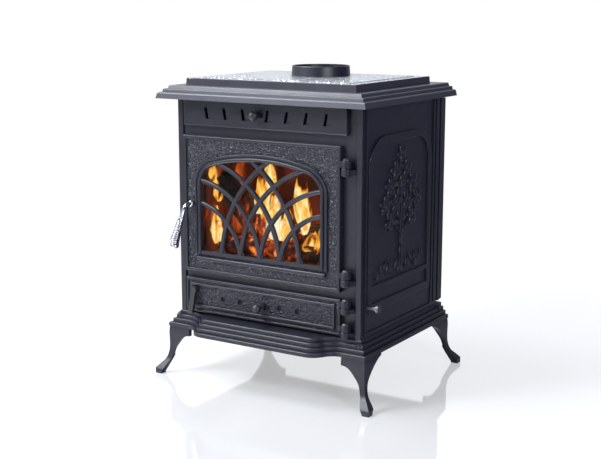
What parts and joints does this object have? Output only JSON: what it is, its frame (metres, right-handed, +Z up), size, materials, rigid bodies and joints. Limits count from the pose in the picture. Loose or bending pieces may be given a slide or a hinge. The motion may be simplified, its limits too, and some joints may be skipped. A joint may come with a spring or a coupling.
{
  "type": "wood burning stove",
  "caption": "Freestanding cast-iron stove on flared legs with a lattice-glazed fire door, ash door, stepped top and top flue collar",
  "frame": {"origin": "on the floor under the middle of the stove's overall footprint", "axes": "+X to the right seen from the doors, +Y towards the back, +Z up"},
  "size_m": [0.573, 0.48, 0.715],
  "materials": {
    "cast_iron": "satin black stove paint over sand-cast iron",
    "chrome": "polished chrome plate",
    "steel": "plain turned steel",
    "black_steel": "matt black paint",
    "galvanised": "galvanised sheet",
    "glass": "clear ceramic glass",
    "brick": "dry vermiculite fire brick",
    "rope": "graphite black glass-fibre rope"
  },
  "bodies": {
    "stove": {"base_plate": "cast_iron", "front_plate": "cast_iron", "left_side_panel": "cast_iron", "right_side_panel": "cast_iron", "back_panel": "cast_iron", "top_plate": "cast_iron", "flue_collar": "cast_iron", "collar_bolts": "steel", "leg_front_left": "cast_iron", "leg_front_right": "cast_iron", "leg_rear_left": "cast_iron", "leg_rear_right": "cast_iron", "leg_bolts": "steel", "tie_rods": "steel", "tie_rod_nuts": "steel", "rear_heat_shield": "black_steel", "shield_spacers": "steel", "shield_screws": "steel", "vent_cover": "cast_iron", "vent_cover_screws": "steel", "airwash_deflector": "black_steel", "grate_frame": "cast_iron", "log_guard": "cast_iron", "left_fire_brick": "brick", "right_fire_brick": "brick", "rear_fire_brick": "brick", "baffle_plate": "cast_iron", "hinge_pins": "steel"},
    "main_door": {"door_casting": "cast_iron", "door_glass": "glass", "glass_gasket": "rope", "glass_clips": "steel", "clip_screws": "steel", "door_rope": "rope"},
    "main_latch": {"latch_spindle": "steel", "handle_rod": "chrome", "coil_grip": "chrome", "grip_end_cap": "chrome", "latch_tongue": "steel", "tongue_nut": "steel"},
    "ash_door": {"ash_door_casting": "cast_iron", "ash_door_rope": "rope", "slider_clips": "steel", "slider_clip_screws": "steel"},
    "ash_latch": {"ash_spindle": "steel", "ash_lever": "black_steel", "ash_tongue": "steel", "ash_tongue_nut": "steel"},
    "air_wash": {"air_wash_slider": "black_steel", "air_wash_knob": "black_steel"},
    "ash_air": {"ash_air_slider": "black_steel", "ash_air_knob": "black_steel"},
    "riddle": {"riddling_grate": "cast_iron", "riddling_rod": "steel", "riddling_nut": "steel", "riddling_knob": "black_steel"},
    "ash_pan": {"ash_pan": "galvanised"}
  },
  "joints": [
    {"name": "main_door_hinge", "type": "hinge", "parent": "stove", "child": "main_door", "pos_m": [0.2075, -0.1835, 0.4], "axis": [0, 0, 1], "range_deg": [0, 110]},
    {"name": "main_latch_turn", "type": "hinge", "parent": "main_door", "child": "main_latch", "pos_m": [-0.194, -0.192, 0.409], "axis": [0, 1, 0], "range_deg": [0, 85]},
    {"name": "ash_door_hinge", "type": "hinge", "parent": "stove", "child": "ash_door", "pos_m": [0.2075, -0.1835, 0.194], "axis": [0, 0, 1], "range_deg": [0, 110]},
    {"name": "ash_latch_turn", "type": "hinge", "parent": "ash_door", "child": "ash_latch", "pos_m": [-0.193, -0.187, 0.206], "axis": [0, 1, 0], "range_deg": [0, 85]},
    {"name": "air_wash_slide", "type": "slide", "parent": "stove", "child": "air_wash", "axis": [1, 0, 0], "range_m": [-0.005, 0.012]},
    {"name": "ash_air_slide", "type": "slide", "parent": "ash_door", "child": "ash_air", "axis": [1, 0, 0], "range_m": [0, 0.02]},
    {"name": "riddle_slide", "type": "slide", "parent": "stove", "child": "riddle", "axis": [1, 0, 0], "range_m": [0, 0.016]},
    {"name": "ash_pan_slide", "type": "slide", "parent": "stove", "child": "ash_pan", "axis": [0, -1, 0], "range_m": [0, 0.1728]}
  ],
  "couplings": [
    {"joint": "ash_pan_slide", "follows": "ash_door_hinge", "m_per_rad": 0.09}
  ]
}
